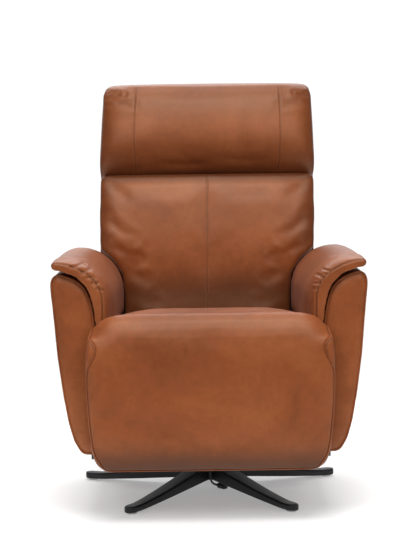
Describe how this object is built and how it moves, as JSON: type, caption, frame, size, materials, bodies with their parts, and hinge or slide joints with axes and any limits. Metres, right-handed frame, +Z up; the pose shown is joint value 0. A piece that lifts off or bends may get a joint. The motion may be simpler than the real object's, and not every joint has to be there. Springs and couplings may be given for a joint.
{
  "type": "swivel recliner",
  "caption": "Leather swivel recliner on a flat star base, with a rising footrest, a reclining back, a tilting headrest and push-button controls.",
  "frame": {"origin": "on the floor under the swivel axis, which is also the middle of the chair's outline seen from above", "axes": "+Z up along the swivel axis, the front of the chair faces -Y, +X towards the sitter's left arm"},
  "size_m": [0.742, 0.8536, 1.0477],
  "materials": {
    "tan_leather": "semi-gloss pebbled cowhide, cognac tan",
    "black_powder_coat": "satin black powder coat",
    "glide_plastic": "cloudy clear plastic",
    "bright_steel": "bright zinc-plated steel",
    "zinc_steel": "grey zinc-plated sheet steel",
    "spring_wire": "drawn spring wire",
    "black_plastic": "moulded black plastic",
    "button_plastic": "dark grey plastic",
    "lead_jacket": "black flexible jacket",
    "circuit_board": "green laminate",
    "plywood": "birch plywood"
  },
  "bodies": {
    "base": {"star_base": "black_powder_coat", "foot_glides": "glide_plastic", "swivel_spindle": "bright_steel", "lower_race": "bright_steel", "ball_cage": "black_plastic", "bearing_balls": "bright_steel", "spindle_nut": "zinc_steel", "column_shroud": "black_plastic", "cable_gland": "black_plastic", "power_lead": "lead_jacket", "dc_connector": "black_plastic"},
    "chassis": {"upper_race": "bright_steel", "swivel_plate": "zinc_steel", "plate_bolts": "bright_steel", "cross_frame": "zinc_steel", "side_plates": "zinc_steel", "pivot_bolts": "bright_steel", "seat_frame": "plywood", "seat_springs": "spring_wire", "seat_cushion": "tan_leather", "chaise_bridge": "tan_leather", "footrest_actuator": "black_plastic", "back_actuator": "black_plastic", "control_box": "black_plastic", "inner_lead": "lead_jacket", "arm_frame_left": "plywood", "arm_frame_right": "plywood", "arm_panel_left": "tan_leather", "arm_panel_right": "tan_leather", "arm_front_left": "tan_leather", "arm_front_right": "tan_leather", "arm_pad_left": "tan_leather", "arm_pad_right": "tan_leather", "arm_caps": "black_plastic", "arm_bolts": "bright_steel", "control_bezel": "black_plastic", "control_board": "circuit_board"},
    "front_cranks": {"front_cranks": "bright_steel"},
    "rear_cranks": {"rear_cranks": "bright_steel"},
    "upper_links": {"upper_links": "zinc_steel"},
    "lower_links": {"lower_links": "zinc_steel"},
    "footrest": {"footrest_board": "plywood", "footrest_pad": "tan_leather", "footrest_brackets": "zinc_steel"},
    "footrest_rod": {"footrest_drive_rod": "bright_steel"},
    "back_rod": {"back_drive_rod": "bright_steel"},
    "back": {"back_frame": "zinc_steel", "back_springs": "spring_wire", "back_cushion": "tan_leather", "back_shell": "tan_leather", "headrest_actuator": "black_plastic"},
    "headrest_rod": {"headrest_drive_rod": "bright_steel"},
    "headrest": {"headrest_frame": "zinc_steel", "headrest_cushion": "tan_leather", "headrest_shell": "tan_leather"},
    "button_footrest": {"button_footrest": "button_plastic"},
    "button_recline": {"button_recline": "button_plastic"},
    "button_headrest": {"button_headrest": "button_plastic"},
    "button_home": {"button_home": "button_plastic"}
  },
  "joints": [
    {"name": "swivel", "type": "hinge", "parent": "base", "child": "chassis", "pos_m": [0, 0, 0.118], "axis": [0, 0, 1], "continuous": true},
    {"name": "footrest_fold", "type": "hinge", "parent": "chassis", "child": "footrest", "pos_m": [0, -0.385, 0.445], "axis": [-1, 0, 0], "range_deg": [0, 80], "deforming": ["chaise_bridge"]},
    {"name": "front_crank_turn", "type": "hinge", "parent": "chassis", "child": "front_cranks", "pos_m": [0, -0.175, 0.333], "axis": [-1, 0, 0], "range_deg": [0, 80]},
    {"name": "rear_crank_turn", "type": "hinge", "parent": "chassis", "child": "rear_cranks", "pos_m": [0, -0.112, 0.2994], "axis": [-1, 0, 0], "range_deg": [0, 80]},
    {"name": "upper_link_turn", "type": "hinge", "parent": "front_cranks", "child": "upper_links", "pos_m": [0, -0.14935, 0.26252], "axis": [-1, 0, 0], "range_deg": [-80, 0]},
    {"name": "lower_link_turn", "type": "hinge", "parent": "front_cranks", "child": "lower_links", "pos_m": [0, -0.13054, 0.21084], "axis": [-1, 0, 0], "range_deg": [-80, 0]},
    {"name": "footrest_drive", "type": "slide", "parent": "chassis", "child": "footrest_rod", "axis": [0, -0.9397, 0.342], "range_m": [0, 0.13177]},
    {"name": "back_recline", "type": "hinge", "parent": "chassis", "child": "back", "pos_m": [0, 0.235, 0.345], "axis": [-1, 0, 0], "range_deg": [0, 40]},
    {"name": "back_drive", "type": "slide", "parent": "chassis", "child": "back_rod", "axis": [0, -1, 0], "range_m": [0, 0.0513]},
    {"name": "headrest_tilt", "type": "hinge", "parent": "back", "child": "headrest", "pos_m": [0, 0.26795, 0.78716], "axis": [1, 0, 0], "range_deg": [0, 25]},
    {"name": "headrest_drive", "type": "slide", "parent": "back", "child": "headrest_rod", "axis": [0, 0.2419, 0.9703], "range_m": [0, 0.01732]},
    {"name": "press_footrest", "type": "slide", "parent": "chassis", "child": "button_footrest", "axis": [0.9939, 0, 0.1101], "range_m": [0, 0.0012], "stiffness_N_per_m": 300},
    {"name": "press_recline", "type": "slide", "parent": "chassis", "child": "button_recline", "axis": [0.9939, 0, 0.1101], "range_m": [0, 0.0012], "stiffness_N_per_m": 300},
    {"name": "press_headrest", "type": "slide", "parent": "chassis", "child": "button_headrest", "axis": [0.9939, 0, 0.1101], "range_m": [0, 0.0012], "stiffness_N_per_m": 300},
    {"name": "press_home", "type": "slide", "parent": "chassis", "child": "button_home", "axis": [0.9939, 0, 0.1101], "range_m": [0, 0.0012], "stiffness_N_per_m": 300}
  ],
  "couplings": [
    {"joint": "front_crank_turn", "follows": "footrest_fold", "ratio": 1},
    {"joint": "rear_crank_turn", "follows": "footrest_fold", "ratio": 1},
    {"joint": "upper_link_turn", "follows": "footrest_fold", "ratio": -1},
    {"joint": "lower_link_turn", "follows": "footrest_fold", "ratio": -1},
    {"joint": "footrest_drive", "follows": "footrest_fold", "m_per_rad": 0.094374},
    {"joint": "back_drive", "follows": "back_recline", "m_per_rad": 0.073486},
    {"joint": "headrest_drive", "follows": "headrest_tilt", "m_per_rad": 0.039683}
  ]
}
